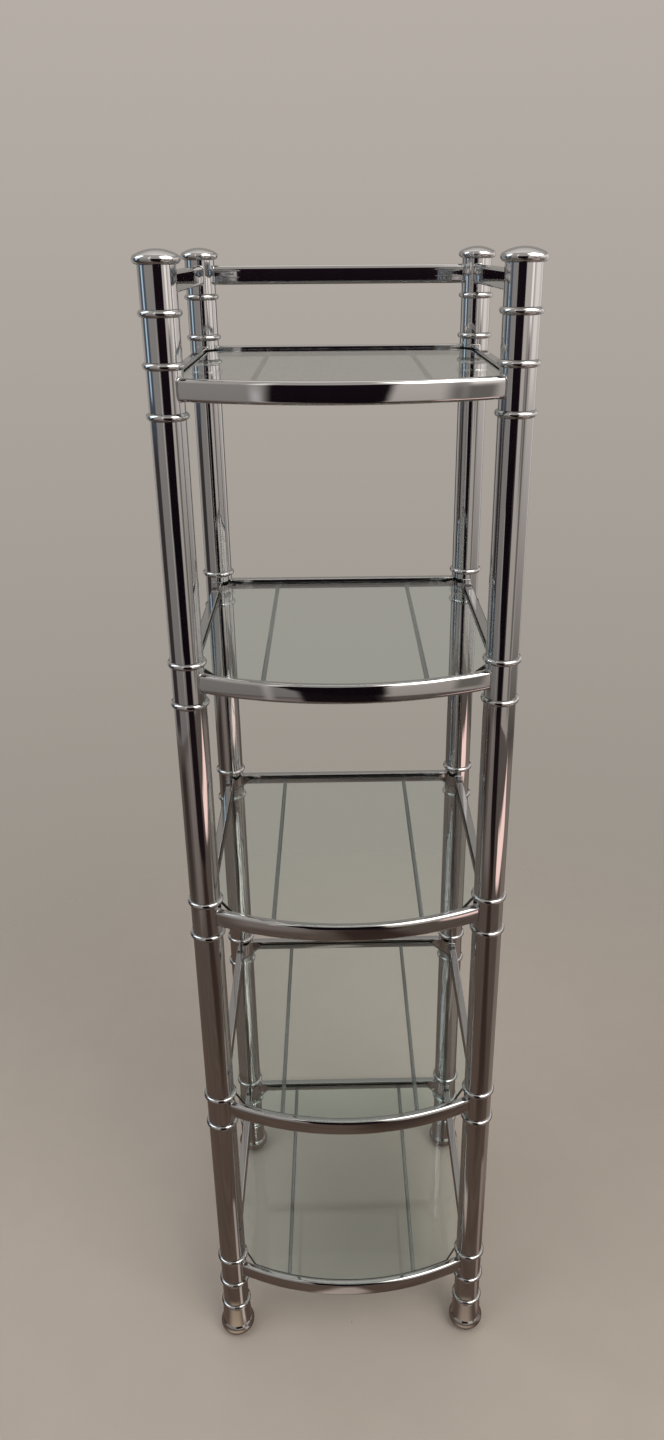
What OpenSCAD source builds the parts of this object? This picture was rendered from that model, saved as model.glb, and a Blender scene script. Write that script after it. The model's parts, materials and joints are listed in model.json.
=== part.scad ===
// Tall square shelving unit: four tube posts built up from short lengths, five welded frames with
// a bowed front bar, five loose glass panes, and a low gallery rail round the top on three sides.
// Millimetres, +Z up, front towards -Y, origin on the floor under the middle of the unit's box.

/* [Posts] */
// Distance between post centres from left to right
post_pitch_x = 300; // [240:1:420]
// Distance between post centres from front to back
post_pitch_y = 300; // [240:1:420]
// Outer diameter of the post tubes and the hubs
tube_d = 31.75; // [28:0.05:34]
// Wall of the post tubes and the hubs
tube_wall = 1.2; // [1:0.1:2.5]
// Length of a long tube between two shelf frames
long_tube_l = 221.2; // [150:0.1:320]
// Length of a shelf's hub and of a short tube
hub_l = 35.4; // [34:0.1:50]
// Length of a gallery hub
gallery_hub_l = 34; // [32:0.1:50]
// Outer diameter of the collars between the tubes
collar_d = 37.4; // [35:0.1:40]
// Height of a collar, whose rim is half round
collar_h = 6; // [4:0.1:8]
// Bore of a collar, which the stud passes freely
collar_bore = 20; // [14:0.5:22]

/* [Bars and rails] */
// Height of the bowed front bars and of the gallery rails
bar_h = 19.3; // [14:0.1:21]
// Thickness of the bowed front bars and of the gallery rails
bar_t = 10; // [8:0.1:14]
// Corner radius of the bowed front bars and of the gallery rails
bar_r = 3.5; // [2:0.1:4]
// How far the middle of a front bar stands ahead of the front posts' centres
bow_rise = 37.4; // [20:0.1:60]
// Height of the straight rails at the back and the sides of a shelf
rail_h = 15.8; // [13:0.1:18]
// Thickness of the straight rails
rail_t = 10; // [8:0.1:14]
// Corner radius of the straight rails
rail_r = 3; // [2:0.1:4]
// Wall of the flat tube that bars and rails are cut from
flat_wall = 1.2; // [1:0.1:1.8]
// Height of the top edge of bars and rails above the middle of their hub
frame_top = 11.3; // [9:0.1:13]

/* [Support rods] */
// Diameter of the rods that carry a pane
rod_d = 4.8; // [4:0.1:6]
// Distance between the two rods of a shelf
rod_pitch = 156; // [100:1:200]
// Depth of a rod's centre below the top edge of the frame
rod_drop = 11.3; // [10:0.1:12]

/* [Glass] */
// Thickness of a pane
glass_t = 5; // [4:0.5:7]
// Play between a pane's edge and the frame round it
glass_play = 1; // [0.5:0.1:2]
// Gap under a pane, above the rods
glass_seat = 0.3; // [0.2:0.05:0.5]
// Play between a pane's cut corner and the collar that it passes
collar_play = 1.3; // [0.5:0.1:3]
// How much more is cut from a pane's back corners than from its front ones
back_cut_extra = 7; // [0:0.5:12]
// Slope of the cut at a pane's front corners, away from the front-to-back direction
front_cut_a = 34; // [25:1:45]
// Slope of the cut at a pane's back corners, away from the front-to-back direction
back_cut_a = 41; // [30:1:50]

/* [Feet] */
// Length of a foot below its collar
foot_l = 51; // [45:0.5:70]
// Diameter of a foot's neck under the collar
neck_top_d = 34.4; // [32:0.1:37]
// Diameter of a foot's neck where the bulb starts
neck_low_d = 36.6; // [33:0.1:38]
// Widest diameter of a foot's bulb
foot_d = 43; // [42:0.1:48]
// Radius of the bulb's rounding
bulb_r = 10.4; // [8:0.1:12]
// Height of the middle of the bulb above the floor
bulb_z = 14; // [12:0.5:20]
// Diameter of the flat that a foot stands on
base_d = 25; // [18:0.5:28]
// Gap between a foot and its collar when it is screwed right in
foot_gap = 0.3; // [0.2:0.05:0.5]

/* [Caps] */
// Diameter of a cap
cap_d = 40; // [36:0.5:46]
// Height of a cap above its hub
cap_h = 12; // [10:0.5:16]
// Radius of a cap's rounded rim
cap_rim_r = 4; // [2:0.1:4.5]
// Depth of the threaded hole in a cap
cap_hole = 8; // [6:0.5:9]

/* [Studs and plugs] */
// Diameter of the studs inside the posts
stud_d = 8; // [6:0.5:10]
// Length of the threaded plug pressed into a tube's end
plug_l = 12; // [8:0.5:13.5]
// Distance from a tube's end in to its plug
plug_in = 4; // [3.5:0.1:5]
// Clearance round a thread
thread_gap = 0.05; // [0.02:0.01:0.1]
// Length of the spigots that centre a collar or a cap in the tubes
spigot_l = 3; // [2:0.1:3.4]
// Clearance round a spigot
spigot_gap = 0.15; // [0.05:0.05:0.3]

/* [Hidden] */
$fn = 96;

// Radii and bores
tube_r = tube_d / 2;
bore_r = tube_r - tube_wall;
foot_r = foot_d / 2;
stud_r = stud_d / 2;

// How far a cutting shape runs past what it cuts
past = 1;

// Plan: the unit's box reaches from the bow to the back feet, and the origin is in its middle
front_reach = bow_rise + bar_t / 2;
back_reach = max(foot_r, cap_d / 2);
front_y = (front_reach - back_reach - post_pitch_y) / 2;
back_y = front_y + post_pitch_y;
side_x = post_pitch_x / 2;
POSTS = [["front_left", -side_x, front_y], ["front_right", side_x, front_y],
         ["back_left", -side_x, back_y], ["back_right", side_x, back_y]];

// The middle line of a front bar is an arc through both front posts' centres
bow_r = (bow_rise * bow_rise + side_x * side_x) / (2 * bow_rise);
bow_y = front_y - bow_rise + bow_r;
bow_a = asin(side_x / bow_r);

// Heights: every shelf repeats the one below it
shelf_count = 5;
lower_tube_z = foot_l + foot_gap + collar_h;
joint_step = hub_l + collar_h;
hub_z_1 = lower_tube_z + joint_step;
shelf_step = joint_step + collar_h + long_tube_l;
upper_tube_z = hub_z(shelf_count) + joint_step;
gallery_hub_z = upper_tube_z + joint_step;
cap_z = gallery_hub_z + gallery_hub_l;
gallery_top_z = gallery_hub_z + gallery_hub_l / 2 + frame_top;

// A stud runs from a hub through the collar and to the far end of the tube's plug
stud_reach = collar_h + plug_in + plug_l;

function hub_z(shelf) = hub_z_1 + (shelf - 1) * shelf_step;
function frame_z(shelf) = hub_z(shelf) + hub_l / 2 + frame_top;
function tube_z(tier) = hub_z(tier) + joint_step;

// Flat tube outline with round corners
module flat_outline(t, h, r) {
    square([t - 2 * r, h], center = true);
    square([t, h - 2 * r], center = true);
    for (sx = [-1, 1], sz = [-1, 1])
        translate([sx * (t / 2 - r), sz * (h / 2 - r)]) circle(r);
}

module flat_section(t, h, r, hollow) {
    difference() {
        flat_outline(t, h, r);
        if (hollow)
            flat_outline(t - 2 * flat_wall, h - 2 * flat_wall, r - flat_wall);
    }
}

// Space that the hubs take, so that bars end on the hubs' round faces
module hub_space(z) {
    for (post = POSTS)
        translate([post[1], post[2], z - hub_l]) cylinder(r = tube_r, h = 2 * hub_l);
}

// Bars and rails, with their top edge at a given height
module bowed_bar(top_z) {
    translate([0, bow_y, top_z - bar_h / 2])
        rotate(-90 - bow_a)
            rotate_extrude(angle = 2 * bow_a)
                translate([bow_r, 0]) flat_section(bar_t, bar_h, bar_r, true);
}

module across_rail(top_z, t, h, r, hollow) {
    translate([0, back_y, top_z - h / 2])
        rotate([90, 0, 90])
            linear_extrude(post_pitch_x, center = true) flat_section(t, h, r, hollow);
}

module depth_rails(top_z, t, h, r) {
    for (side = [-1, 1])
        translate([side * side_x, (front_y + back_y) / 2, top_z - h / 2])
            rotate([90, 0, 0])
                linear_extrude(post_pitch_y, center = true) flat_section(t, h, r, true);
}

// Shelf frames
module front_bar(shelf) {
    color("silver") difference() {
        bowed_bar(frame_z(shelf));
        hub_space(hub_z(shelf));
    }
}

module back_rail(shelf) {
    color("silver") difference() {
        across_rail(frame_z(shelf), rail_t, rail_h, rail_r, true);
        hub_space(hub_z(shelf));
    }
}

module side_rails(shelf) {
    color("silver") difference() {
        depth_rails(frame_z(shelf), rail_t, rail_h, rail_r);
        hub_space(hub_z(shelf));
    }
}

// Rods run from the back rail to the bow and end on their faces
module support_rods(shelf) {
    rod_z = frame_z(shelf) - rod_drop;
    rod_from = front_y - front_reach;
    rod_to = back_y - rail_t / 2 + rail_r;
    color("darkgray") difference() {
        intersection() {
            for (side = [-1, 1])
                translate([side * rod_pitch / 2, rod_from, rod_z])
                    rotate([-90, 0, 0]) cylinder(d = rod_d, h = rod_to - rod_from);
            translate([0, bow_y, rod_z - rod_d]) cylinder(r = bow_r - bar_t / 2, h = 2 * rod_d);
        }
        across_rail(frame_z(shelf), rail_t, rail_h, rail_r, false);
    }
}

// Pane: straight at the sides and the back, an arc along the bow, and cut off at the corners
module corner_cut(x, y, a, cut) {
    reach = collar_d;
    translate([x, y]) rotate(a)
        translate([-reach, -2 * reach]) square([reach + cut, 4 * reach]);
}

module pane_outline() {
    front_cut = collar_d / 2 + collar_play;
    edge_x = side_x - rail_t / 2 - glass_play;
    edge_y = back_y - rail_t / 2 - glass_play;
    difference() {
        intersection() {
            translate([-edge_x, front_y - front_reach])
                square([2 * edge_x, edge_y - front_y + front_reach]);
            translate([0, bow_y]) circle(bow_r - bar_t / 2 - glass_play);
        }
        corner_cut(-side_x, front_y, front_cut_a, front_cut);
        corner_cut(side_x, front_y, 180 - front_cut_a, front_cut);
        corner_cut(-side_x, back_y, -back_cut_a, front_cut + back_cut_extra);
        corner_cut(side_x, back_y, 180 + back_cut_a, front_cut + back_cut_extra);
    }
}

module glass(shelf) {
    color([0.68, 0.80, 0.76, 0.5])
        translate([0, 0, frame_z(shelf) - rod_drop + rod_d / 2 + glass_seat])
            linear_extrude(glass_t) pane_outline();
}

// Posts
module tube(l) {
    difference() {
        cylinder(r = tube_r, h = l);
        translate([0, 0, -past]) cylinder(r = bore_r, h = l + 2 * past);
    }
}

module long_tube(post, tier) {
    color("silver") translate([post[1], post[2], tube_z(tier)]) tube(long_tube_l);
}

module short_tubes(z, l) {
    color("silver") for (post = POSTS) translate([post[1], post[2], z]) tube(l);
}

module collar_outline(lower_spigot) {
    rim_x = collar_d / 2 - collar_h / 2;
    spigot_r = bore_r - spigot_gap;
    bore = collar_bore / 2;
    translate([bore, 0]) square([rim_x - bore, collar_h]);
    translate([rim_x, collar_h / 2]) circle(collar_h / 2);
    translate([bore, collar_h]) square([spigot_r - bore, spigot_l]);
    if (lower_spigot)
        translate([bore, -spigot_l]) square([spigot_r - bore, spigot_l]);
}

module collar(z, lower_spigot) {
    for (post = POSTS)
        translate([post[1], post[2], z]) rotate_extrude() collar_outline(lower_spigot);
}

module collars() {
    color("gainsboro") {
        collar(lower_tube_z - collar_h, false);
        for (shelf = [1:shelf_count]) {
            collar(hub_z(shelf) - collar_h, true);
            collar(hub_z(shelf) + hub_l, true);
        }
        collar(gallery_hub_z - collar_h, true);
    }
}

// Cap: a low dome that runs smoothly into a round rim
module cap_outline() {
    rim_x = cap_d / 2 - cap_rim_r;
    rise = cap_h - cap_rim_r;
    dome_r = (rim_x * rim_x + rise * rise - cap_rim_r * cap_rim_r) / (2 * (cap_h - 2 * cap_rim_r));
    dome_z = cap_h - dome_r;
    meet = dome_r / (dome_r - cap_rim_r);
    meet_x = rim_x * meet;
    meet_z = dome_z + (cap_rim_r - dome_z) * meet;
    difference() {
        union() {
            square([rim_x, meet_z]);
            translate([rim_x, cap_rim_r]) circle(cap_rim_r);
            intersection() {
                translate([0, dome_z]) circle(dome_r);
                translate([0, meet_z]) square([meet_x, cap_h]);
            }
            translate([0, -spigot_l]) square([bore_r - spigot_gap, spigot_l]);
        }
        translate([0, -spigot_l]) square([stud_r + thread_gap, spigot_l + cap_hole]);
    }
}

module caps() {
    color("gainsboro") for (post = POSTS)
        translate([post[1], post[2], cap_z]) rotate_extrude() cap_outline();
}

// Foot: a neck that widens a little down to a round bulb, over a cone to the flat it stands on
module foot_outline() {
    ring_r = foot_r - bulb_r;
    base_r = base_d / 2;
    neck_low_r = neck_low_d / 2;
    neck_z = bulb_z + sqrt(bulb_r * bulb_r - pow(neck_low_r - ring_r, 2));
    cone_a = atan2(-bulb_z, base_r - ring_r) + acos(bulb_r / norm([base_r - ring_r, bulb_z]));
    cone = [ring_r + bulb_r * cos(cone_a), bulb_z + bulb_r * sin(cone_a)];
    polygon([[0, 0], [base_r, 0], cone, [ring_r, bulb_z], [0, bulb_z]]);
    polygon([[0, bulb_z], [neck_low_r, bulb_z], [neck_low_r, neck_z], [neck_top_d / 2, foot_l], [0, foot_l]]);
    intersection() {
        translate([ring_r, bulb_z]) circle(bulb_r);
        square([foot_r, foot_l]);
    }
}

module foot(post) {
    stud_l = foot_gap + stud_reach;
    color("silver") translate([post[1], post[2], 0]) {
        rotate_extrude() foot_outline();
        translate([0, 0, foot_l - past]) cylinder(r = stud_r, h = stud_l + past);
    }
}

// Plugs are pressed into the tube ends, and studs screwed into them draw the posts together
module plug(z) {
    for (post = POSTS)
        translate([post[1], post[2], z])
            difference() {
                cylinder(r = bore_r, h = plug_l);
                translate([0, 0, -past]) cylinder(r = stud_r + thread_gap, h = plug_l + 2 * past);
            }
}

module tube_plugs() {
    far_end = plug_in + plug_l;
    color("goldenrod") {
        plug(lower_tube_z + plug_in);
        plug(lower_tube_z + hub_l - far_end);
        for (tier = [1:shelf_count - 1]) {
            plug(tube_z(tier) + plug_in);
            plug(tube_z(tier) + long_tube_l - far_end);
        }
    }
}

module stud(from_z, to_z) {
    for (post = POSTS)
        translate([post[1], post[2], from_z]) cylinder(r = stud_r, h = to_z - from_z);
}

module joining_studs() {
    color("dimgray") for (shelf = [1:shelf_count - 1])
        stud(hub_z(shelf) - stud_reach, hub_z(shelf) + hub_l + stud_reach);
}

module top_studs() {
    color("dimgray") stud(hub_z(shelf_count) - stud_reach, cap_z + cap_hole);
}

// Gallery round the back and both sides of the top
module gallery_back_rail() {
    color("silver") difference() {
        across_rail(gallery_top_z, bar_t, bar_h, bar_r, true);
        hub_space(gallery_hub_z);
    }
}

module gallery_side_rails() {
    color("silver") difference() {
        depth_rails(gallery_top_z, bar_t, bar_h, bar_r);
        hub_space(gallery_hub_z);
    }
}

for (shelf = [1:shelf_count]) {
    front_bar(shelf);
    back_rail(shelf);
    side_rails(shelf);
    support_rods(shelf);
    short_tubes(hub_z(shelf), hub_l);
    glass(shelf);
}
for (post = POSTS) {
    for (tier = [1:shelf_count - 1])
        long_tube(post, tier);
    foot(post);
}
short_tubes(lower_tube_z, hub_l);  // lower_tubes
short_tubes(upper_tube_z, hub_l);  // upper_tubes
gallery_back_rail();
gallery_side_rails();
short_tubes(gallery_hub_z, gallery_hub_l);  // gallery_hubs
collars();
caps();
joining_studs();
top_studs();
tube_plugs();
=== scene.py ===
"""Tall glass shelving unit: chromed tube posts, five welded frames, five loose panes and a gallery."""
import json
import math

import bmesh
import bpy
from mathutils import Matrix, Vector

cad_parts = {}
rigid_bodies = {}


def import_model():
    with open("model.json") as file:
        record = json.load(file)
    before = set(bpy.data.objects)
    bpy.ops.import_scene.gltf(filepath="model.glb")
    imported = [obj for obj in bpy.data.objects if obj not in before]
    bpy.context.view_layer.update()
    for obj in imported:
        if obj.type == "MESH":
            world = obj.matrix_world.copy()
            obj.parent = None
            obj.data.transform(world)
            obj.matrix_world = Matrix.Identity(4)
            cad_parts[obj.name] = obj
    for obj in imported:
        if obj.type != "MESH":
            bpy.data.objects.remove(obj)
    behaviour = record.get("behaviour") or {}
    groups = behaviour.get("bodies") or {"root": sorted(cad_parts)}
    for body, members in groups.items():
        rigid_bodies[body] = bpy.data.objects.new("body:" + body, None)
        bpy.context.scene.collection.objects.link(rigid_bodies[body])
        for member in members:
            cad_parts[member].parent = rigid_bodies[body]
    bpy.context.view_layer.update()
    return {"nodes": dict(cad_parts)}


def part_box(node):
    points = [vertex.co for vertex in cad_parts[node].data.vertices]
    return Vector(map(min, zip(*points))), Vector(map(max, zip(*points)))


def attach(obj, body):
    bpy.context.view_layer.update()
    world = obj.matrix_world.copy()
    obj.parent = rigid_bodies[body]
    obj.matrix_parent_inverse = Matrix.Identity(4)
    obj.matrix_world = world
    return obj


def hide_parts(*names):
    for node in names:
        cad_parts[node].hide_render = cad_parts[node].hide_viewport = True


for leftover in list(bpy.data.objects):
    bpy.data.objects.remove(leftover)
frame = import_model()


# Feet: turned from steel bar, polished and plated with bright chromium. A neck widens down to a crease,
# then comes a round bulb and a cone to the flat that the foot stands on. The stud on top screws up
# into the post, so that each foot can be turned down to level the unit.
MM = 0.001
SIDES = 80
CRISP_EDGE = math.radians(30)
post_x, front_post_y, back_post_y = 150.0, -139.55, 160.45
neck_end, neck_top, neck_low = 51.0, 17.2, 18.3
neck_row, neck_row_out = 1.2, 0.03
bulb_out, bulb_round, bulb_height = 21.5, 10.4, 14.0
base_out = 12.5
foot_edge, base_edge_rise = 0.5, 0.4
stud_out, thread_depth, thread_pitch = 4.0, 0.65, 1.25


def rgb(code):
    """An sRGB hex colour as linear RGBA."""
    parts = [int(code[i:i + 2], 16) / 255 for i in (1, 3, 5)]
    return [c / 12.92 if c <= 0.04045 else ((c + 0.055) / 1.055) ** 2.4 for c in parts] + [1.0]


def add(tree, kind, inputs=None, **settings):
    """Adds a node with its settings. Each input, by name or number, takes a value, a socket, or the
    first output of another node."""
    node = tree.nodes.new(kind)
    for name, value in settings.items():
        setattr(node, name, value)
    for name, value in (inputs or {}).items():
        if isinstance(value, bpy.types.Node):
            value = value.outputs[0]
        if isinstance(value, bpy.types.NodeSocket):
            tree.links.new(value, node.inputs[name])
        else:
            node.inputs[name].default_value = value
    return node


def new_finish(name):
    """A material and its empty node tree."""
    made = bpy.data.materials.new(name)
    made.use_nodes = True
    made.node_tree.nodes.clear()
    return made, made.node_tree


def arc(x, z, radius, start, end, steps):
    """Points along an arc, from one angle in degrees to another."""
    turns = [math.radians(start + (end - start) * i / steps) for i in range(steps + 1)]
    return [(x + radius * math.cos(turn), z + radius * math.sin(turn)) for turn in turns]


def turned(name, profile, closed):
    """A mesh turned about Z from (radius, height) points in mm. A closed profile has a bore."""
    work = bmesh.new()
    rows = []
    for radius, height in profile:
        turns = [math.tau * i / SIDES for i in range(SIDES if radius else 1)]
        points = [(radius * MM * math.cos(t), radius * MM * math.sin(t), height * MM) for t in turns]
        row = [work.verts.new(point) for point in points]
        rows.append(row if radius else row * SIDES)
    for low, high in zip(rows, rows[1:] + rows[:1] if closed else rows[1:]):
        for i in range(SIDES):
            j = (i + 1) % SIDES
            work.faces.new(list(dict.fromkeys((low[i], low[j], high[j], high[i]))))
    bmesh.ops.recalc_face_normals(work, faces=work.faces)
    mesh = bpy.data.meshes.new(name)
    work.to_mesh(mesh)
    work.free()
    mesh.shade_smooth()
    mesh.set_sharp_from_angle(angle=CRISP_EDGE)
    return mesh


def shown(name, mesh, *materials):
    """A new object in the scene with these materials."""
    made = bpy.data.objects.new(name, mesh)
    bpy.context.scene.collection.objects.link(made)
    for material in materials:
        mesh.materials.append(material)
    return made


def fixed(piece, body, slot, *nodes):
    """Fixes a piece to its CAD body, in place of these CAD nodes."""
    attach(piece, body)
    if nodes:
        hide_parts(*nodes)


# Bright chromium plate over polished steel: a cool mirror whose reflections waver a little where the
# steel was polished by hand, with faint wiping marks that dull it here and there
chrome, tree = new_finish("bright_chromium_plate")
place = add(tree, "ShaderNodeTexCoord").outputs["Object"]
polish_waves = add(tree, "ShaderNodeTexNoise", {"Vector": place, "Scale": 1 / (30 * MM), "Detail": 1.0})
wiping = add(tree, "ShaderNodeMapping", {"Vector": place, "Scale": (1, 1, 0.35)})
wiping_marks = add(tree, "ShaderNodeTexNoise", {"Vector": wiping, "Scale": 1 / (9 * MM), "Detail": 5.0})
gloss = add(tree, "ShaderNodeMapRange", {
    "Value": wiping_marks, "From Min": 0.35, "From Max": 0.75, "To Min": 0.025, "To Max": 0.08})
waver = add(tree, "ShaderNodeBump", {"Height": polish_waves, "Strength": 0.06, "Distance": 0.3 * MM})
surface = add(tree, "ShaderNodeBsdfPrincipled", {
    "Base Color": rgb("#c8c9ca"), "Metallic": 1.0, "Roughness": gloss, "Normal": waver})
add(tree, "ShaderNodeOutputMaterial", {"Surface": surface})

# Zinc plate on a cut thread: dull grey with a yellowish spangle. A Mix node of colours takes them in
# inputs 6 and 7, and gives the mixed colour in output 2.
thread_zinc, tree = new_finish("zinc_plated_thread")
place = add(tree, "ShaderNodeTexCoord").outputs["Object"]
spangle = add(tree, "ShaderNodeTexNoise", {"Vector": place, "Scale": 1 / (1.5 * MM), "Detail": 3.0})
tone = add(tree, "ShaderNodeMix", {
    "Factor": spangle, 6: rgb("#8d8c88"), 7: rgb("#aaa69b")}, data_type="RGBA").outputs[2]
gloss = add(tree, "ShaderNodeMapRange", {"Value": spangle, "To Min": 0.28, "To Max": 0.45})
surface = add(tree, "ShaderNodeBsdfPrincipled", {"Base Color": tone, "Metallic": 1.0, "Roughness": gloss})
add(tree, "ShaderNodeOutputMaterial", {"Surface": surface})


def thread(name, length):
    """A helical thread that stands on the foot's neck."""
    turns, rows_a_pitch = 32, 8
    rows = int(length / thread_pitch * rows_a_pitch)
    verts = []
    for row in range(rows + 1):
        for i in range(turns):
            flank = abs(2 * ((row / rows_a_pitch - i / turns) % 1) - 1)
            radius = stud_out - thread_depth * flank
            turn = math.tau * i / turns
            verts.append((radius * math.cos(turn), radius * math.sin(turn), length * row / rows))
    faces = [tuple(reversed(range(turns))), tuple(rows * turns + i for i in range(turns))]
    for low in range(0, rows * turns, turns):
        for i in range(turns):
            j = (i + 1) % turns
            faces.append((low + i, low + j, low + turns + j, low + turns + i))
    mesh = bpy.data.meshes.new(name)
    mesh.from_pydata(verts, [], faces)
    mesh.transform(Matrix.Scale(MM, 4))
    return mesh


# The bulb's arc runs from where the cone touches it up to the crease
bulb_ring = bulb_out - bulb_round
crease_angle = math.degrees(math.acos((neck_low - bulb_ring) / bulb_round))
lean = math.atan2(-bulb_height, base_out - bulb_ring)
cone_angle = math.degrees(lean + math.acos(bulb_round / math.hypot(base_out - bulb_ring, bulb_height)))
foot_profile = [(0, 0), (base_out - foot_edge, 0), (base_out, base_edge_rise)]
foot_profile += arc(bulb_ring, bulb_height, bulb_round, cone_angle, crease_angle, steps=24)
foot_profile += [(neck_top + neck_row_out, neck_end - neck_row), (neck_top, neck_end - foot_edge)]
foot_profile += [(neck_top - foot_edge, neck_end), (0, neck_end)]
for corner, x, y in (("front_left", -post_x, front_post_y), ("front_right", post_x, front_post_y),
                     ("back_left", -post_x, back_post_y), ("back_right", post_x, back_post_y)):
    stud_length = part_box(corner + "_foot")[1].z / MM - neck_end
    foot = shown(corner + "_bulb_foot", turned("bulb_foot", foot_profile, False), chrome)
    stud = shown(corner + "_foot_thread", thread("foot_thread", stud_length), thread_zinc)
    foot.data.transform(Matrix.Translation((x * MM, y * MM, 0)))
    stud.data.transform(Matrix.Translation((x * MM, y * MM, neck_end * MM)))
    fixed(foot, "foot_" + corner, "chrome", corner + "_foot")
    fixed(stud, "foot_" + corner, "stud_steel")


# Post tubes: drawn steel tube cut to length, polished and chromed. One long tube stands between every
# two shelves and short ones stand below the lowest shelf and above the top one. The hubs are short
# lengths of the same tube, which the bars and rails are welded to.
SHELVES, TIERS = range(1, 6), range(1, 5)
tube_out, tube_wall, edge_break = 15.875, 1.2, 0.3


def shape_tree(name, **sizes):
    """A Geometry Nodes tree with these named inputs, and the sockets that carry them."""
    tree = bpy.data.node_groups.new(name, "GeometryNodeTree")
    tree.interface.new_socket("Geometry", in_out="INPUT", socket_type="NodeSocketGeometry")
    for size, kind in {**sizes, "Finish": "Material"}.items():
        tree.interface.new_socket(size, in_out="INPUT", socket_type="NodeSocket" + kind)
    tree.interface.new_socket("Geometry", in_out="OUTPUT", socket_type="NodeSocketGeometry")
    return tree, add(tree, "NodeGroupInput").outputs


def end_tree(tree, geometry, material):
    """Makes the instances real, gives them their finish and ends the tree."""
    real = add(tree, "GeometryNodeRealizeInstances", {"Geometry": geometry})
    painted = add(tree, "GeometryNodeSetMaterial", {"Geometry": real, "Material": material})
    add(tree, "NodeGroupOutput", {"Geometry": painted})


def worked(name, mesh, tree, **sizes):
    """Runs a tree on a mesh with these sizes and keeps the result as a plain mesh."""
    made = shown(name, mesh)
    modifier = made.modifiers.new(tree.name, "NODES")
    modifier.node_group = tree
    for item in tree.interface.items_tree:
        if item.in_out == "INPUT" and item.name in sizes:
            modifier[item.identifier] = sizes[item.name]
    made.modifiers.new("flat_faces_stay_flat", "WEIGHTED_NORMAL").keep_sharp = True
    seen = bpy.context.evaluated_depsgraph_get()
    plain = bpy.data.meshes.new_from_object(made.evaluated_get(seen), depsgraph=seen)
    made.modifiers.clear()
    made.data = plain
    return made


# Stands a turned piece on all four posts, at equal steps up
stack, given = shape_tree("Stack on the posts", Across="Float", Deep="Float", Middle="Float",
                          First="Float", Step="Float", Count="Int")
start = add(stack, "ShaderNodeCombineXYZ", {"Y": given["Middle"], "Z": given["First"]})
step = add(stack, "ShaderNodeCombineXYZ", {"Z": given["Step"]})
levels = add(stack, "GeometryNodeMeshLine", {
    "Count": given["Count"], "Start Location": start, "Offset": step})
posts = add(stack, "GeometryNodeMeshGrid", {
    "Size X": given["Across"], "Size Y": given["Deep"], "Vertices X": 2, "Vertices Y": 2})
floors = add(stack, "GeometryNodeInstanceOnPoints", {"Points": levels, "Instance": posts})
spots = add(stack, "GeometryNodeRealizeInstances", {"Geometry": floors})
stood = add(stack, "GeometryNodeInstanceOnPoints", {"Points": spots, "Instance": given["Geometry"]})
end_tree(stack, stood, given["Finish"])


def on_posts(name, profile, closed, first, step=0.0, count=1):
    """A turned piece on all four posts, with its heights in metres."""
    return worked(name, turned(name, profile, closed), stack, Across=2 * post_x * MM,
                  Deep=(back_post_y - front_post_y) * MM, Middle=(back_post_y + front_post_y) / 2 * MM,
                  First=first, Step=step, Count=count, Finish=chrome)


def tube_profile(length):
    """A tube's section: both walls, with the cut edges broken."""
    bore, shoulder = tube_out - tube_wall, tube_out - edge_break
    low_end = [(bore, 0), (shoulder, 0), (tube_out, edge_break), (tube_out, 2 * edge_break)]
    return low_end + [(radius, length - height) for radius, height in reversed(low_end)]


def lengths(node):
    """A CAD node's lowest height in metres and its length in mm."""
    low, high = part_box(node)
    return low.z, (high.z - low.z) / MM


shelf_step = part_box("shelf_2_hubs")[0].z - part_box("shelf_1_hubs")[0].z
first, length = lengths("front_left_tube_1")
piece = on_posts("long_post_tubes", tube_profile(length), True, first, shelf_step, len(TIERS))
fixed(piece, "frame", "chrome", *[f"{side}_{hand}_tube_{tier}" for side in ("front", "back")
                                  for hand in ("left", "right") for tier in TIERS])
first, length = lengths("shelf_1_hubs")
piece = on_posts("shelf_post_hubs", tube_profile(length), True, first, shelf_step, len(SHELVES))
fixed(piece, "frame", "chrome", *[f"shelf_{shelf}_hubs" for shelf in SHELVES])
first, length = lengths("lower_tubes")
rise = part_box("upper_tubes")[0].z - first
piece = on_posts("short_post_tubes", tube_profile(length), True, first, rise, 2)
fixed(piece, "frame", "chrome", "lower_tubes", "upper_tubes")
first, length = lengths("gallery_hubs")
piece = on_posts("gallery_post_hubs", tube_profile(length), True, first)
fixed(piece, "frame", "chrome", "gallery_hubs")


# Collars: turned rings with a half round rim, polished and chromed. One is drawn up tight between
# every two tubes by the studs inside the post.
collar_out, collar_height, collar_bore = 18.7, 6.0, 10.0
rim, rim_row = collar_height / 2, 0.3
flat_out = collar_out - rim - rim_row
collar_profile = [(collar_bore, 0), (flat_out, 0)]
collar_profile += arc(collar_out - rim, rim, rim, -90, 90, steps=18)
collar_profile += [(flat_out, collar_height), (collar_bore, collar_height)]
hub_low, hub_length = lengths("shelf_1_hubs")
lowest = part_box("lower_tubes")[0].z - collar_height * MM
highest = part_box("gallery_hubs")[0].z - collar_height * MM
under = on_posts("collars_under_hubs", collar_profile, True,
                 hub_low - collar_height * MM, shelf_step, len(SHELVES))
over = on_posts("collars_over_hubs", collar_profile, True,
                hub_low + hub_length * MM, shelf_step, len(SHELVES))
ends = on_posts("end_collars", collar_profile, True, lowest, highest - lowest, 2)
fixed(under, "frame", "chrome", "collars")
fixed(over, "frame", "chrome")
fixed(ends, "frame", "chrome")


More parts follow.
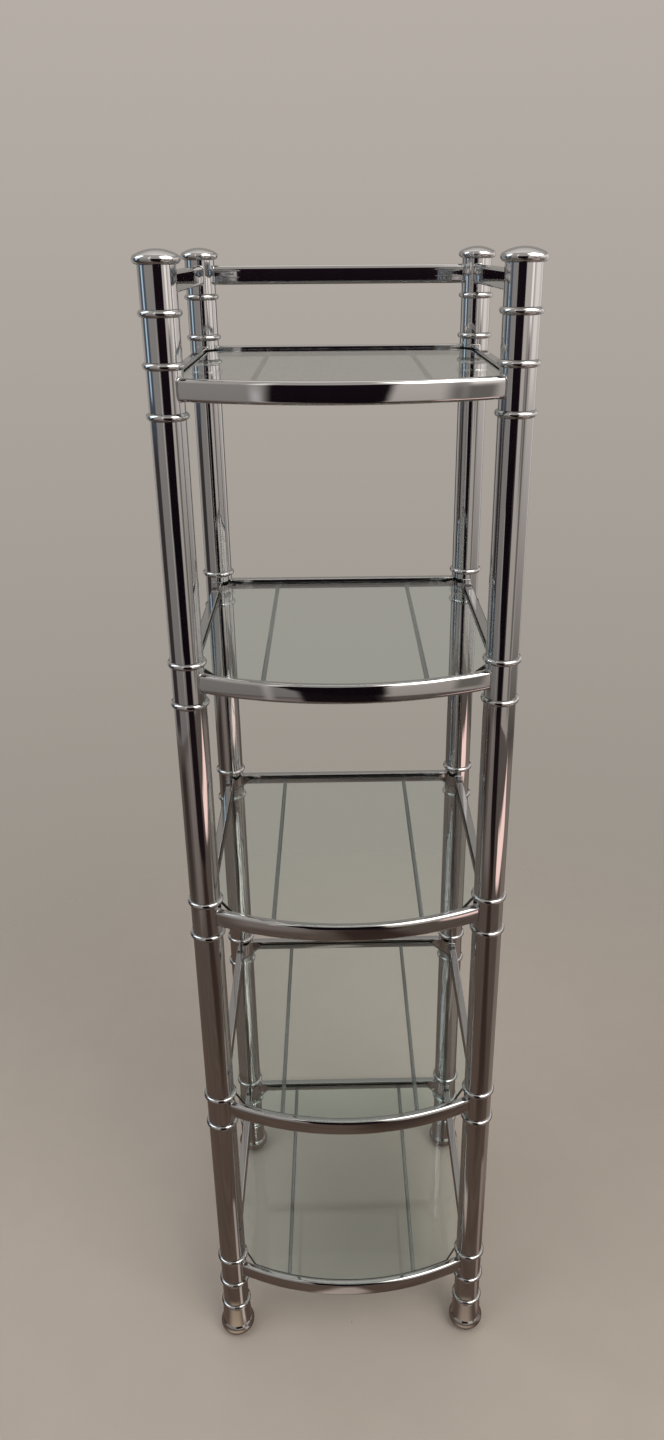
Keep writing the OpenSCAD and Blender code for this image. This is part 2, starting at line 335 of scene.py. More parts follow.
# Bars and rails: flat steel tube with round corners, chromed. The front bar of a shelf is rolled to a
# bow. The back and side rails are straight and a little lower. Each end is cut to fit the round hub
# and welded to it all round, with the seam ground down before plating.
bar_height, bar_thick, bar_corner = 19.3, 10.0, 3.5
rail_height, rail_thick, rail_corner = 15.8, 10.0, 1.2
flat_crown = 0.45
bow_rise = 37.4
bow_steps = 32
bar_end = 14.9
seam_round = 0.75


def path_mesh(name, paths, closed=False):
    """Lines through points in mm, for a tree to sweep along."""
    verts, edges = [], []
    for path in paths:
        first = len(verts)
        verts += [[c * MM for c in point] for point in path]
        edges += [(i, i + 1) for i in range(first, len(verts) - 1)]
        if closed:
            edges.append((len(verts) - 1, first))
    mesh = bpy.data.meshes.new(name)
    mesh.from_pydata(verts, edges, [])
    return mesh


# Sweeps a flat tube's outline along each line, upright. Rolling leaves a slight crown on the wide sides:
# their edges draw in by the crown. Level and side are half at the faces, so -8 times level squared
# times side is one crown inward there.
flat_tube, given = shape_tree("Flat tube along a line", Height="Float", Thickness="Float",
                              Corner="Float", Crown="Float")
line = add(flat_tube, "GeometryNodeMeshToCurve", {"Mesh": given["Geometry"]})
upright = add(flat_tube, "GeometryNodeSetCurveNormal", {"Curve": line}, mode="Z_UP")
outline = add(flat_tube, "GeometryNodeCurvePrimitiveQuadrilateral", {
    "Width": given["Thickness"], "Height": given["Height"]})
rounded = add(flat_tube, "GeometryNodeFilletCurve", {
    "Curve": outline, "Count": 7, "Radius": given["Corner"]}, mode="POLY")
divided = add(flat_tube, "GeometryNodeSubdivideCurve", {"Curve": rounded, "Cuts": 2})
spot = add(flat_tube, "GeometryNodeInputPosition")
spot = add(flat_tube, "ShaderNodeSeparateXYZ", {0: spot}).outputs
level = add(flat_tube, "ShaderNodeMath", {0: spot["Y"], 1: given["Height"]}, operation="DIVIDE")
side = add(flat_tube, "ShaderNodeMath", {0: spot["X"], 1: given["Thickness"]}, operation="DIVIDE")
inward = add(flat_tube, "ShaderNodeMath", {0: level, 1: level}, operation="MULTIPLY")
for factor in (given["Crown"], side, -8.0):
    inward = add(flat_tube, "ShaderNodeMath", {0: inward, 1: factor}, operation="MULTIPLY")
inward = add(flat_tube, "ShaderNodeCombineXYZ", {"X": inward})
crowned = add(flat_tube, "GeometryNodeSetPosition", {"Geometry": divided, "Offset": inward})
swept = add(flat_tube, "GeometryNodeCurveToMesh", {
    "Curve": upright, "Profile Curve": crowned, "Fill Caps": True})
end_tree(flat_tube, swept, given["Finish"])

# Sweeps a round wire along each line
round_wire, given = shape_tree("Round wire along a line", Radius="Float")
line = add(round_wire, "GeometryNodeMeshToCurve", {"Mesh": given["Geometry"]})
outline = add(round_wire, "GeometryNodeCurvePrimitiveCircle", {"Resolution": 20, "Radius": given["Radius"]})
swept = add(round_wire, "GeometryNodeCurveToMesh", {
    "Curve": line, "Profile Curve": outline, "Fill Caps": True})
end_tree(round_wire, swept, given["Finish"])

# A front bar stops short of the middle of each post, as the rails do
bow_radius = (bow_rise ** 2 + post_x ** 2) / (2 * bow_rise)
bow_centre_y = front_post_y - bow_rise + bow_radius
bow_half = math.asin(post_x / bow_radius) - 2 * math.asin(bar_end / 2 / bow_radius)


def bow(z):
    """The middle line of a front bar, from left to right."""
    turns = [bow_half * i / bow_steps for i in range(-bow_steps, bow_steps + 1)]
    return [(bow_radius * math.sin(t), bow_centre_y - bow_radius * math.cos(t), z) for t in turns]


def across(z):
    """The middle line of a rail along the back."""
    return [(-post_x + bar_end, back_post_y, z), (post_x - bar_end, back_post_y, z)]


def along(x, z):
    """The middle line of a rail along a side."""
    return [(x, front_post_y + bar_end, z), (x, back_post_y - bar_end, z)]


def seam(x, y, toward, z, height, thick, corner):
    """A weld all round the end of a bar that meets the hub at x, y from that direction in degrees."""
    turn = math.radians(toward)
    points = []
    for side, up, start in ((1, 1, 0), (-1, 1, 90), (-1, -1, 180), (1, -1, 270)):
        middle = (side * (thick / 2 - corner), up * (height / 2 - corner))
        points += arc(*middle, corner, start, start + 90, steps=6)
    loop = []
    for out, rise in points:
        reach = math.sqrt(tube_out ** 2 - out ** 2)
        loop.append((x + reach * math.cos(turn) - out * math.sin(turn),
                     y + reach * math.sin(turn) + out * math.cos(turn), z + rise))
    return loop


bow_end = bow(0)[-1]
bow_toward = math.degrees(math.atan2(bow_end[1] - front_post_y, bow_end[0] - post_x))
bows, backs, sides, seams = [], [], [], []
for shelf in SHELVES:
    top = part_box(f"shelf_{shelf}_front_bar")[1].z / MM
    bar_z, rail_z = top - bar_height / 2, top - rail_height / 2
    bar = (bar_z, bar_height, bar_thick, bar_corner)
    rail = (rail_z, rail_height, rail_thick, rail_corner)
    bows.append(bow(bar_z))
    backs.append(across(rail_z))
    sides += [along(-post_x, rail_z), along(post_x, rail_z)]
    seams.append(seam(post_x, front_post_y, bow_toward, *bar))
    seams.append(seam(-post_x, front_post_y, 180 - bow_toward, *bar))
    seams += [seam(-post_x, back_post_y, 0, *rail), seam(post_x, back_post_y, 180, *rail)]
    for x in (-post_x, post_x):
        seams += [seam(x, front_post_y, 90, *rail), seam(x, back_post_y, -90, *rail)]
bar_sizes = {"Height": bar_height * MM, "Thickness": bar_thick * MM, "Corner": bar_corner * MM,
             "Crown": flat_crown * MM, "Finish": chrome}
rail_sizes = {"Height": rail_height * MM, "Thickness": rail_thick * MM, "Corner": rail_corner * MM,
              "Crown": flat_crown * MM, "Finish": chrome}
piece = worked("bowed_front_bars", path_mesh("bows", bows), flat_tube, **bar_sizes)
fixed(piece, "frame", "chrome", *[f"shelf_{shelf}_front_bar" for shelf in SHELVES])
piece = worked("straight_back_rails", path_mesh("backs", backs), flat_tube, **rail_sizes)
fixed(piece, "frame", "chrome", *[f"shelf_{shelf}_back_rail" for shelf in SHELVES])
piece = worked("straight_side_rails", path_mesh("sides", sides), flat_tube, **rail_sizes)
fixed(piece, "frame", "chrome", *[f"shelf_{shelf}_side_rails" for shelf in SHELVES])
piece = worked("frame_weld_seams", path_mesh("seams", seams, True), round_wire,
               Radius=seam_round * MM, Finish=chrome)
fixed(piece, "frame", "chrome")


# Support rods: two round steel rods under each pane, welded to the back rail and to the front bar.
# They are plated but not buffed, so they look satin grey beside the posts.
rod_out, rod_x = 2.4, 78.0
rod_bite = 1.0
rod_seam_round, rod_seam_out, rod_seam_points = 0.7, rod_out + 0.2, 24

# Satin chromium plate on drawn rod: grey and half dull, with fine marks along the rod from the die,
# which are coarser here than on the real rod, so that they show
rod_plate, tree = new_finish("satin_chromium_plate")
place = add(tree, "ShaderNodeTexCoord").outputs["Object"]
drawn = add(tree, "ShaderNodeMapping", {"Vector": place, "Scale": (1, 0.02, 1)})
draw_marks = add(tree, "ShaderNodeTexNoise", {"Vector": drawn, "Scale": 1 / (0.8 * MM), "Detail": 3.0})
gloss = add(tree, "ShaderNodeMapRange", {"Value": draw_marks, "To Min": 0.12, "To Max": 0.28})
grooves = add(tree, "ShaderNodeBump", {"Height": draw_marks, "Strength": 0.2, "Distance": 0.05 * MM})
surface = add(tree, "ShaderNodeBsdfPrincipled", {
    "Base Color": rgb("#a3a5a6"), "Metallic": 1.0, "Roughness": gloss, "Normal": grooves})
add(tree, "ShaderNodeOutputMaterial", {"Surface": surface})

inner_bow = bow_radius - bar_thick / 2


def inner_bow_y(x):
    """Where the inner face of a front bar stands at this X."""
    return bow_centre_y - math.sqrt(inner_bow ** 2 - x ** 2)


rods, rod_welds = [], []
for shelf in SHELVES:
    low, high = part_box(f"shelf_{shelf}_support_rods")
    rod_z = (low.z + high.z) / 2 / MM
    rail_face = back_post_y - rail_thick / 2
    for x in (-rod_x, rod_x):
        rods.append([(x, inner_bow_y(x) - rod_bite, rod_z), (x, rail_face + rod_bite, rod_z)])
        ring = arc(x, rod_z, rod_seam_out, 0, 360, rod_seam_points)[:-1]
        rod_welds.append([(a, rail_face, b) for a, b in ring])
        rod_welds.append([(a, inner_bow_y(a), b) for a, b in ring])
piece = worked("pane_support_rods", path_mesh("rods", rods), round_wire,
               Radius=rod_out * MM, Finish=rod_plate)
fixed(piece, "frame", "rod_chrome", *[f"shelf_{shelf}_support_rods" for shelf in SHELVES])
piece = worked("rod_weld_seams", path_mesh("rod_welds", rod_welds, True), round_wire,
               Radius=rod_seam_round * MM, Finish=rod_plate)
fixed(piece, "frame", "rod_chrome")


# Panes: clear float glass, cut to the bow at the front and across the corners to clear the collars,
# with ground edges. Each lies loose on its two rods inside the frame and lifts out.
pane_play, front_cut, back_cut = 1.0, 20.0, 27.0
front_cut_angle, back_cut_angle = 34.0, 41.0
ground_edge = 0.6
bow_edge_steps = 56
crisp_pane_edge = math.radians(25)
glass_bending = 1.52

# Clear float glass: a faint green cast, and a thin film in places that dulls its mirror a little
clear_glass, tree = new_finish("clear_float_glass")
place = add(tree, "ShaderNodeTexCoord").outputs["Object"]
film = add(tree, "ShaderNodeTexNoise", {"Vector": place, "Scale": 1 / (70 * MM), "Detail": 4.0})
gloss = add(tree, "ShaderNodeMapRange", {"Value": film, "From Min": 0.5, "From Max": 0.8, "To Max": 0.008})
surface = add(tree, "ShaderNodeBsdfPrincipled", {
    "Base Color": rgb("#f3fbf9"), "Roughness": gloss, "IOR": glass_bending, "Transmission Weight": 1.0})
add(tree, "ShaderNodeOutputMaterial", {"Surface": surface})

# The ground edge looks deep green, nearly black, because little light reaches it along the pane. Its
# grit is coarser here than on the real edge, so that it shows.
green_edge, tree = new_finish("ground_glass_edge")
place = add(tree, "ShaderNodeTexCoord").outputs["Object"]
grit = add(tree, "ShaderNodeTexNoise", {"Vector": place, "Scale": 1 / (0.5 * MM), "Detail": 2.0})
gloss = add(tree, "ShaderNodeMapRange", {"Value": grit, "To Min": 0.2, "To Max": 0.45})
surface = add(tree, "ShaderNodeBsdfPrincipled", {
    "Base Color": rgb("#12291f"), "Roughness": gloss, "IOR": glass_bending, "Transmission Weight": 0.55})
add(tree, "ShaderNodeOutputMaterial", {"Surface": surface})


def trimmed(outline, corner_x, corner_y, angle, cut):
    """The outline without what lies within the cut's distance of a post, measured along that angle."""
    slope = Vector((math.cos(math.radians(angle)), math.sin(math.radians(angle))))
    clear = [slope.dot(point - Vector((corner_x, corner_y))) - cut for point in outline]
    kept = []
    for i, point in enumerate(outline):
        if clear[i - 1] * clear[i] < 0:
            kept.append(outline[i - 1].lerp(point, clear[i - 1] / (clear[i - 1] - clear[i])))
        if clear[i] >= 0:
            kept.append(point)
    return kept


def drawn_in(outline, by):
    """The outline moved in by that distance."""
    moved = []
    for i, point in enumerate(outline):
        before = (point - outline[i - 1]).normalized().orthogonal()
        after = (outline[(i + 1) % len(outline)] - point).normalized().orthogonal()
        moved.append(point + (before + after) * by / (1 + before.dot(after)))
    return moved


glass_x = post_x - rail_thick / 2 - pane_play
glass_y = back_post_y - rail_thick / 2 - pane_play
glass_bow = inner_bow - pane_play
widest = math.degrees(math.asin(glass_x / glass_bow))
bow_edge = arc(0, bow_centre_y, glass_bow, -90 - widest, -90 + widest, bow_edge_steps)
outline = [Vector(point) for point in bow_edge + [(glass_x, glass_y), (-glass_x, glass_y)]]
outline = trimmed(outline, -post_x, front_post_y, front_cut_angle, front_cut)
outline = trimmed(outline, post_x, front_post_y, 180 - front_cut_angle, front_cut)
outline = trimmed(outline, -post_x, back_post_y, -back_cut_angle, back_cut)
outline = trimmed(outline, post_x, back_post_y, 180 + back_cut_angle, back_cut)
for shelf in SHELVES:
    low, high = (corner.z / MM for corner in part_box(f"shelf_{shelf}_glass"))
    face = drawn_in(outline, ground_edge)
    rings = [(face, low), (outline, low + ground_edge), (outline, high - ground_edge), (face, high)]
    verts = [(p.x * MM, p.y * MM, z * MM) for ring, z in rings for p in ring]
    count = len(outline)
    faces = [tuple(reversed(range(count))), tuple(range(3 * count, 4 * count))]
    for ring_start in (0, count, 2 * count):
        for i in range(count):
            low_pair = (ring_start + i, ring_start + (i + 1) % count)
            faces.append((*low_pair, low_pair[1] + count, low_pair[0] + count))
    mesh = bpy.data.meshes.new("pane")
    mesh.from_pydata(verts, [], faces)
    mesh.shade_smooth()
    mesh.set_sharp_from_angle(angle=crisp_pane_edge)
    pane = shown(f"glass_pane_{shelf}", mesh, clear_glass, green_edge)
    # Both faces are clear and the three bands round the edge are ground
    mesh.polygons.foreach_set("material_index", [0, 0] + [1] * (3 * count))
    fixed(pane, f"pane_{shelf}", "clear_glass", f"shelf_{shelf}_glass")


# Gallery: the same flat tube as the front bars, straight, round the back and both sides of the top,
# welded to the highest hubs. It is open at the front.
gallery_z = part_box("gallery_back_rail")[1].z / MM - bar_height / 2
gallery = (gallery_z, bar_height, bar_thick, bar_corner)
piece = worked("gallery_back", path_mesh("gallery_back", [across(gallery_z)]), flat_tube, **bar_sizes)
fixed(piece, "frame", "chrome", "gallery_back_rail")
both = [along(-post_x, gallery_z), along(post_x, gallery_z)]
piece = worked("gallery_sides", path_mesh("gallery_sides", both), flat_tube, **bar_sizes)
fixed(piece, "frame", "chrome", "gallery_side_rails")
seams = [seam(-post_x, back_post_y, 0, *gallery), seam(post_x, back_post_y, 180, *gallery)]
for x in (-post_x, post_x):
    seams += [seam(x, front_post_y, 90, *gallery), seam(x, back_post_y, -90, *gallery)]
piece = worked("gallery_weld_seams", path_mesh("gallery_seams", seams, True), round_wire,
               Radius=seam_round * MM, Finish=chrome)
fixed(piece, "frame", "chrome")


# Caps: low mushroom caps turned from steel, polished and chromed. A dome runs smoothly into a round
# rim that stands out over the post, and the top stud holds the cap down.
cap_out, cap_height, cap_rim, cap_row = 20.0, 12.0, 4.0, 0.4
rim_x, rim_rise = cap_out - cap_rim, cap_height - cap_rim
dome = (rim_x ** 2 + rim_rise ** 2 - cap_rim ** 2) / (2 * (cap_height - 2 * cap_rim))
meet = math.degrees(math.atan2(cap_rim - cap_height + dome, rim_x))
cap_profile = [(0, 0), (rim_x - cap_row, 0)] + arc(rim_x, cap_rim, cap_rim, -90, meet, steps=16)
cap_profile += arc(0, cap_height - dome, dome, meet, 90, steps=18)[1:-1] + [(0, cap_height)]
piece = on_posts("mushroom_caps", cap_profile, False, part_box("gallery_hubs")[1].z)
fixed(piece, "frame", "chrome", "caps")


# Studs and plugs: zinc plated studs and die cast plugs inside the posts. The studs draw tubes, hubs
# and collars together, and the plugs are pressed into the tube ends to take them.

# Die cast zinc: matt grey, with the uneven, slightly pitted skin that the mould leaves
cast_zinc, tree = new_finish("die_cast_zinc")
place = add(tree, "ShaderNodeTexCoord").outputs["Object"]
cast_skin = add(tree, "ShaderNodeTexNoise", {"Vector": place, "Scale": 1 / (2.5 * MM), "Detail": 4.0})
tone = add(tree, "ShaderNodeMix", {
    "Factor": cast_skin, 6: rgb("#8f918f"), 7: rgb("#a6a8a5")}, data_type="RGBA").outputs[2]
gloss = add(tree, "ShaderNodeMapRange", {"Value": cast_skin, "To Min": 0.4, "To Max": 0.6})
pits = add(tree, "ShaderNodeBump", {"Height": cast_skin, "Strength": 0.3, "Distance": 0.1 * MM})
surface = add(tree, "ShaderNodeBsdfPrincipled", {
    "Base Color": tone, "Metallic": 1.0, "Roughness": gloss, "Normal": pits})
add(tree, "ShaderNodeOutputMaterial", {"Surface": surface})

inside_finishes = {"joining_studs": thread_zinc, "top_studs": thread_zinc, "tube_plugs": cast_zinc}
for node, material in inside_finishes.items():
    for held in frame["nodes"][node].material_slots:
        held.material = material


# Floor: a plain pale floor that fades away into the backdrop, with no edge behind the unit. The plating
# mirrors a darker brown floor with long streaks instead, for contrast.
ROUND_STEPS = 48
floor_reach = 2.5
floor_hole = 1 * MM
fade_start, fade_end = 0.35, 1.6
brown_near, brown_far = 0.5, 1.9
mottles_a_metre, streaks_a_metre = 14, 22
plating_loss = 1.7


def patch(name, low_line, high_line):
    """A strip of mesh between two lines of points, with a map that runs along and up it."""
    count = len(low_line)
    mesh = bpy.data.meshes.new(name)
    faces = [(i, i + 1, count + i + 1, count + i) for i in range(count - 1)]
    mesh.from_pydata(low_line + high_line, [], faces)
    spread = mesh.uv_layers.new(name="spread")
    for loop in mesh.loops:
        column, row = loop.vertex_index % count, loop.vertex_index // count
        spread.data[loop.index].uv = (column / (count - 1), row)
    return mesh


def round_line(radius, height, start=0, end=360, middle=0):
    """Points on an arc round a spot on the line of the front posts, from one bearing to another."""
    turns = [math.radians(start + (end - start) * i / ROUND_STEPS) for i in range(ROUND_STEPS + 1)]
    return [(middle + radius * math.sin(t), front_post_y * MM - radius * math.cos(t), height) for t in turns]


floor_finish, tree = new_finish("pale_floor")
place = add(tree, "ShaderNodeTexCoord").outputs["Object"]
away = add(tree, "ShaderNodeVectorMath", {0: place}, operation="LENGTH").outputs["Value"]
fade = add(tree, "ShaderNodeMapRange", {
    "Value": away, "From Min": fade_start, "From Max": fade_end}, interpolation_type="SMOOTHSTEP")
mottle = add(tree, "ShaderNodeTexNoise", {"Vector": place, "Scale": mottles_a_metre, "Detail": 4.0})
tone = add(tree, "ShaderNodeMix", {
    "Factor": mottle, 6: rgb("#b1a89e"), 7: rgb("#b8aea4")}, data_type="RGBA").outputs[2]
near = add(tree, "ShaderNodeBsdfPrincipled", {"Base Color": tone, "Roughness": 0.7})
far = add(tree, "ShaderNodeBsdfTransparent")
pale = add(tree, "ShaderNodeMixShader", {0: fade, 1: near, 2: far})
lengthways = add(tree, "ShaderNodeMapping", {"Vector": place, "Scale": (0.25, 1, 1)})
streaks = add(tree, "ShaderNodeTexNoise", {"Vector": lengthways, "Scale": streaks_a_metre, "Detail": 3.0})
near = add(tree, "ShaderNodeMix", {
    "Factor": streaks, 6: rgb("#3b2f28"), 7: rgb("#5a4c43")}, data_type="RGBA").outputs[2]
far = add(tree, "ShaderNodeMix", {
    "Factor": streaks, 6: rgb("#3f3834"), 7: rgb("#5d5550")}, data_type="RGBA").outputs[2]
reach = add(tree, "ShaderNodeMapRange", {"Value": away, "From Min": brown_near, "From Max": brown_far})
tone = add(tree, "ShaderNodeMix", {"Factor": reach, 6: near, 7: far}, data_type="RGBA").outputs[2]
brown = add(tree, "ShaderNodeEmission", {"Color": tone, "Strength": plating_loss})
# Glossy Depth counts the mirrors that a ray came by: none when the camera sees the floor itself
mirrors = add(tree, "ShaderNodeLightPath").outputs["Glossy Depth"]
mirrored = add(tree, "ShaderNodeMath", {0: mirrors, 1: 0.5}, operation="GREATER_THAN")
mixed = add(tree, "ShaderNodeMixShader", {0: mirrored, 1: pale, 2: brown})
add(tree, "ShaderNodeOutputMaterial", {"Surface": mixed})
spread_out = patch("floor", round_line(floor_hole, 0), round_line(floor_reach, 0))
shown("floor", spread_out, floor_finish)


# Light: an even room and two large soft lamps. The backdrop is a pale grey, with painted shade that makes it
# a little deeper low down,
# and lights nothing: only the camera, mirrors and glass see it.
room_light, backdrop_low, backdrop_high = 0.62, -0.75, 0.2

world = bpy.data.worlds.new("studio")
bpy.context.scene.world = world
world.use_nodes = True
tree = world.node_tree
tree.nodes.clear()
facing = add(tree, "ShaderNodeTexCoord").outputs["Generated"]
facing = add(tree, "ShaderNodeSeparateXYZ", {0: facing}).outputs
height = add(tree, "ShaderNodeMapRange", {
    "Value": facing["Z"], "From Min": backdrop_low, "From Max": backdrop_high})
backdrop = add(tree, "ShaderNodeMix", {
    "Factor": height, 6: rgb("#8f8a81"), 7: rgb("#b6aea7")}, data_type="RGBA").outputs[2]
ray = add(tree, "ShaderNodeLightPath").outputs
seen = add(tree, "ShaderNodeMath", {0: ray["Is Camera Ray"], 1: ray["Is Glossy Ray"]}, operation="MAXIMUM")
seen = add(tree, "ShaderNodeMath", {0: seen, 1: ray["Is Transmission Ray"]}, operation="MAXIMUM")
behind = add(tree, "ShaderNodeBackground", {"Color": backdrop, "Strength": 1.0})
fill = add(tree, "ShaderNodeBackground", {"Color": rgb("#f2efec"), "Strength": room_light})
mixed = add(tree, "ShaderNodeMixShader", {0: seen, 1: fill, 2: behind})
add(tree, "ShaderNodeOutputWorld", {"Surface": mixed})

# Each lamp's name, place and width in metres, watts and colour
lamp_target = Vector((0, 0, 0.6))
for name, centre, width, watts, colour in (
        ("key_lamp", (1.3, -1.7, 2.7), 1.6, 38, "#fff6ec"),
        ("fill_lamp", (-1.8, -1.0, 2.2), 1.8, 20, "#f1f5fb")):
    lamp = bpy.data.lights.new(name, "AREA")
    lamp.size, lamp.energy, lamp.color = width, watts, rgb(colour)[:3]
    made = bpy.data.objects.new(name, lamp)
    bpy.context.scene.collection.objects.link(made)
    turn = (lamp_target - Vector(centre)).to_track_quat("-Z", "Y")
    made.matrix_world = Matrix.Translation(centre) @ turn.to_matrix().to_4x4()
    made.visible_glossy = False


# Screens: what the plating mirrors. They stand round the unit as cards do in a studio, dark ones for
# contrast and bright ones for shine, and only rays that left a mirror see them. Plating gives back a
# little over half of what it mirrors, so a screen glows stronger than the colour it is to give.
def screen(name, low_line, high_line, low_colour, high_colour, soft=(0, 0), strength=1.0):
    """A screen between two lines of points, graded from low to high. Soft gives the share of its width
    and of its height that fades out at each end. One stronger than 1 shows in the first mirror alone,
    and not through glass, where it would leave grain."""
    finish, tree = new_finish(name)
    spread = add(tree, "ShaderNodeUVMap", uv_map="spread")
    along_up = add(tree, "ShaderNodeSeparateXYZ", {0: spread}).outputs
    tone = add(tree, "ShaderNodeMix", {
        "Factor": along_up["Y"], 6: rgb(low_colour), 7: rgb(high_colour)}, data_type="RGBA").outputs[2]
    shade = add(tree, "ShaderNodeEmission", {"Color": tone, "Strength": plating_loss * strength})
    mirrors = add(tree, "ShaderNodeLightPath").outputs["Glossy Depth"]
    if strength > 1:
        cover = add(tree, "ShaderNodeMath", {0: mirrors, 1: 1, 2: 0.5}, operation="COMPARE")
    else:
        cover = add(tree, "ShaderNodeMath", {0: mirrors, 1: 0.5}, operation="GREATER_THAN")
    for socket, width in zip(("X", "Y"), soft):
        if width:
            centred = add(tree, "ShaderNodeMath", {0: along_up[socket], 1: 0.5}, operation="SUBTRACT")
            off = add(tree, "ShaderNodeMath", {0: centred}, operation="ABSOLUTE")
            edge = add(tree, "ShaderNodeMapRange", {
                "Value": off, "From Min": 0.5, "From Max": 0.5 - width}, interpolation_type="SMOOTHSTEP")
            cover = add(tree, "ShaderNodeMath", {0: cover, 1: edge}, operation="MULTIPLY")
    clear = add(tree, "ShaderNodeBsdfTransparent")
    mixed = add(tree, "ShaderNodeMixShader", {0: cover, 1: clear, 2: shade})
    add(tree, "ShaderNodeOutputMaterial", {"Surface": mixed})
    finish.cycles.emission_sampling = "NONE"
    made = shown(name, patch(name, low_line, high_line), finish)
    made.visible_camera = made.visible_diffuse = made.visible_volume_scatter = made.visible_shadow = False
    made.visible_transmission = strength <= 1


# Upright screens on arcs: bearings from and to in degrees, distance, bottom and top in metres
for name, start, end, radius, bottom, top, low_colour, high_colour, soft in (
        ("round_left", -150, -8, 1.95, 0, 1.75, "#686461", "#827e7a", (0.06, 0)),
        ("round_front_right", 5, 70, 1.95, 0, 1.75, "#8c837c", "#b2aaa5", (0.2, 0)),
        ("round_right", 62, 160, 1.95, 0, 1.75, "#463f3a", "#d8cfca", (0.1, 0)),
        ("round_back", 130, 238, 1.95, 0, 2.6, "#6e6a64", "#84807c", (0.08, 0)),
        ("slate_left", -122, -68, 1.9, 0.8, 1.75, "#3d4049", "#4f5965", (0.15, 0.1)),
        ("dark_left", -120, -74, 1.9, 0, 0.95, "#2c2525", "#332f30", (0.15, 0.1)),
        ("blue_left", -101, -86, 1.85, 0.95, 1.75, "#9fb6c5", "#b4cbd7", (0.25, 0.05)),
        ("grey_front_right", 43, 61, 1.89, 0.05, 1.15, "#5f5a54", "#5f5a56", (0.3, 0.1)),
        ("bright_front_right", 46, 63, 1.88, 1.08, 1.75, "#e0d6d0", "#f3eae5", (0.25, 0.12)),
        ("bright_right", 71, 110, 1.9, 0.9, 1.75, "#c8beb8", "#e2d9d3", (0.2, 0.2)),
        ("dark_back_right", 150, 162, 1.9, 0, 1.3, "#1c1a1a", "#232224", (0.2, 0)),
        ("dark_back_left", 198, 212, 1.9, 0, 1.3, "#1c1a1a", "#232224", (0.2, 0)),
        ("bright_back_right", 130, 149, 1.88, 0, 1.45, "#8f8883", "#cfc7c1", (0.25, 0.2)),
        ("bright_back_left", 213, 231, 1.88, 0, 1.3, "#85807b", "#a8a39e", (0.25, 0.2))):
    screen(name, round_line(radius, bottom, start, end), round_line(radius, top, start, end),
           low_colour, high_colour, soft)

# Screens overhead: two level halves, and two sloping bright ones that give collars and caps their shine.
# Bearings from and to, then distance and height of the outer and of the inner edge.
ceiling, ceiling_in, ceiling_out = 2.7, 0.2, 3
for name, start, end, low_edge, high_edge, low_colour, high_colour, soft, strength in (
        ("high_front", -120, 120, (ceiling_in, ceiling), (ceiling_out, ceiling), "#8f8a85", "#9a948f",
         (0, 0), 1.0),
        ("high_back", 120, 240, (ceiling_in, ceiling), (ceiling_out, ceiling), "#d6cfc8", "#716e6c",
         (0, 0), 1.0),
        ("high_right", 16, 104, (1.5, 1.62), (0.5, 2.65), "#fffaf4", "#fff8f0", (0.3, 0.15), 3.4),
        ("high_left", -112, -76, (1.8, 1.65), (0.9, 2.6), "#dfe9f0", "#e8f0f6", (0.3, 0.2), 2.2)):
    screen(name, round_line(*low_edge, start, end), round_line(*high_edge, start, end),
           low_colour, high_colour, soft, strength)

# Flat screens close in front, and two on the floor, a painted shadow and a painted patch of sunlight. Each
# corner is X, distance before the posts, Z.
front = front_post_y * MM
for name, low_from, low_to, high_from, high_to, low_colour, high_colour, soft in (
        ("dark_far", (0.12, 0.95, 0.4), (0.32, 0.95, 0.4), (0.12, 0.95, 1.38), (0.3, 0.95, 1.38),
         "#3a322f", "#2b2426", (0.3, 0.1)),
        ("dark_high", (-0.33, 0.5, 0.93), (0.17, 0.5, 0.93), (-0.3, 0.5, 1.4), (0.26, 0.5, 1.4),
         "#0c070b", "#150d13", (0.1, 0.03)),
        ("dark_middle", (-0.33, 0.65, 0.7), (0.21, 0.5, 0.7), (-0.33, 0.5, 0.98), (0.19, 0.5, 0.98),
         "#0c070b", "#0c070b", (0.12, 0.08)),
        ("dark_low", (-0.31, 1.0, 0.14), (0.42, 0.75, 0.14), (-0.29, 0.65, 0.8), (0.18, 0.5, 0.8),
         "#1c1415", "#0c070b", (0.14, 0.1)),
        ("light_strip", (-0.48, 0.64, 0.3), (-0.36, 0.64, 0.3), (-0.48, 0.64, 1.25), (-0.36, 0.64, 1.25),
         "#746d68", "#a8a3a2", (0.5, 0.2)),
        ("bright_strip", (-0.52, 0.64, 1.3), (-0.34, 0.64, 1.3), (-0.52, 0.64, 2.2), (-0.34, 0.64, 2.2),
         "#cfc9c3", "#f0ebe6", (0.4, 0.15)),
        ("grey_strip", (0.36, 0.45, 0.92), (0.58, 0.45, 0.92), (0.36, 0.45, 1.26), (0.58, 0.45, 1.26),
         "#5f5956", "#6a6562", (0.5, 0.4)),
        # Painted shadow: a dark patch on the floor in front, where shadow falls on the floor that the plating
        # mirrors
        ("painted_shadow_ground", (0.02, 0.2, 0.004), (0.6, 0.2, 0.004), (-0.25, 1.3, 0.004), (0.42, 1.3, 0.004),
         "#382b26", "#2a1f1a", (0.3, 0.25)),
        ("sunlit_ground", (0.93, 1.12, 0.007), (1.92, 0.38, 0.007), (0.72, 0.88, 0.007), (1.47, -0.06, 0.007),
         "#f0ccc2", "#f0ccc2", (0.1, 0.25))):
    corners = [(x, front - before, z) for x, before, z in (low_from, low_to, high_from, high_to)]
    screen(name, corners[:2], corners[2:], low_colour, high_colour, soft)
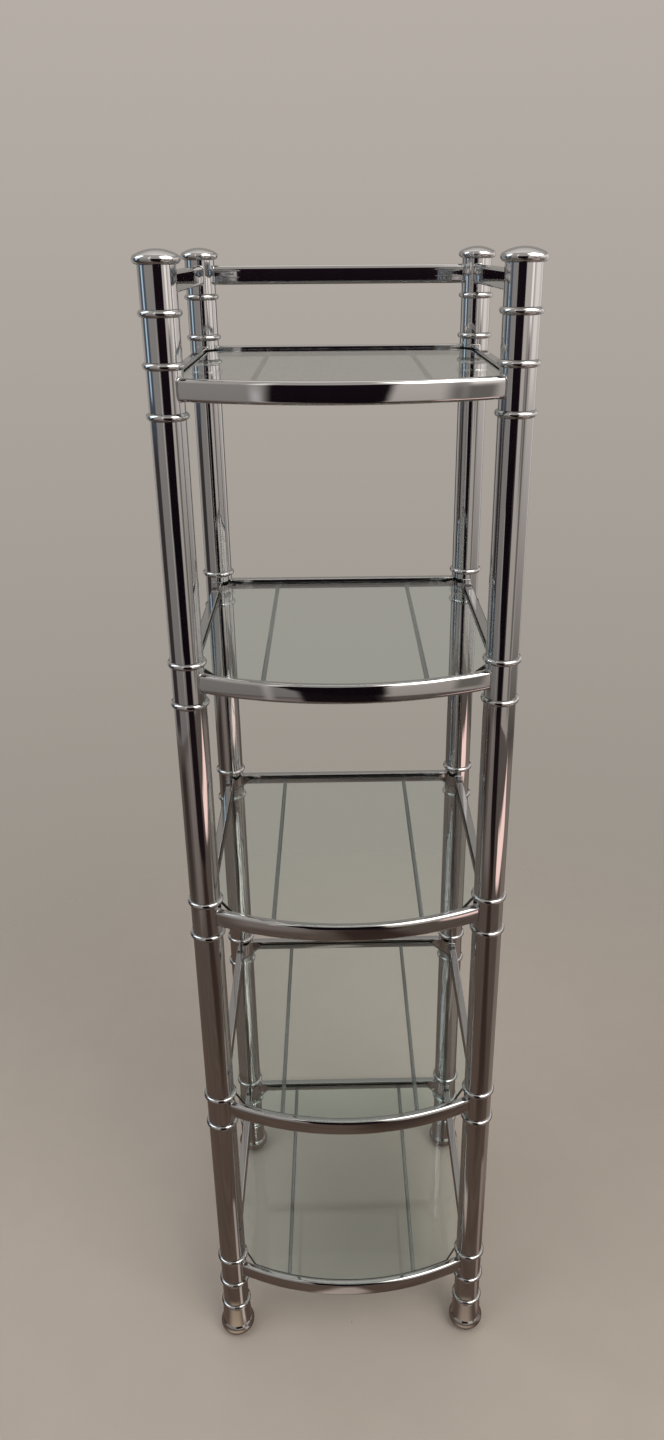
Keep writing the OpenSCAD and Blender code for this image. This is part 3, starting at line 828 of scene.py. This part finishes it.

# Rings and parts of rings on the floor, round the middle of the front or round one of its posts, among them
# painted glints and pools of light:
# bearings from and to, nearest and farthest distance
wide_height, small_height = 0.005, 0.006
left_post, right_post = -post_x * MM, post_x * MM
for name, x, z, start, end, near, far, low_colour, high_colour, soft in (
        ("ground_front_left", 0, wide_height, -60, -8, 0.9, 1.94, "#665c57", "#6e6561", (0.3, 0.2)),
        ("ground_left", 0, wide_height, -112, -62, 1.0, 1.94, "#3c342f", "#292322", (0.25, 0.25)),
        # Painted light: the floor to the right is lighter where light falls on it
        ("lit_ground_right", 0, wide_height, 78, 140, 0.25, 1.9, "#6b5f57", "#6f655e", (0.2, 0.1)),
        ("glint_left", left_post, small_height, 35, 64, 0.022, 0.23, "#a89b92", "#8d8078", (0.35, 0.1)),
        ("glint_right", right_post, small_height, 55, 98, 0.022, 0.3, "#7a6a62", "#7a6d66", (0.35, 0.1)),
        # Tan floor with painted light: the floor just before each foot, tan wood lit bright
        ("lit_tan_left", left_post, small_height, -62, 52, 0.0215, 0.062, "#9a8876", "#84735f", (0.4, 0.2)),
        ("lit_tan_right", right_post, small_height, -66, 46, 0.0215, 0.062, "#8c7c6d", "#7c6d60", (0.4, 0.2))):
    screen(name, round_line(near, z, start, end, x), round_line(far, z, start, end, x),
           low_colour, high_colour, soft)


# Camera: at the height of the caps, in front of the unit and tilted down, as the photo was taken. Its
# line of sight meets the photo a little off the middle.
focal_pixels, long_side, sensor = 1033.2, 1440, 36
photo_middle, sight_middle = (332, 720), (353.2, 710.7)
eye_x, eye_before, eye_z = -7.4, 917.6, 1302.6
pan, tilt, roll = (math.radians(angle) for angle in (-0.932, 24.223, -0.407))

camera = bpy.data.cameras.new("camera")
camera.sensor_width = sensor
camera.lens = sensor * focal_pixels / long_side
camera.shift_x = (photo_middle[0] - sight_middle[0]) / long_side
camera.shift_y = (sight_middle[1] - photo_middle[1]) / long_side
viewer = bpy.data.objects.new("camera", camera)
bpy.context.scene.collection.objects.link(viewer)
viewer.location = (eye_x * MM, (front_post_y - eye_before) * MM, eye_z * MM)
turn = Matrix.Rotation(pan, 3, "Z") @ Matrix.Rotation(math.radians(90) - tilt, 3, "X")
viewer.rotation_euler = (turn @ Matrix.Rotation(roll, 3, "Z")).to_euler()
bpy.context.scene.camera = viewer
bpy.context.scene.view_settings.view_transform = "Standard"
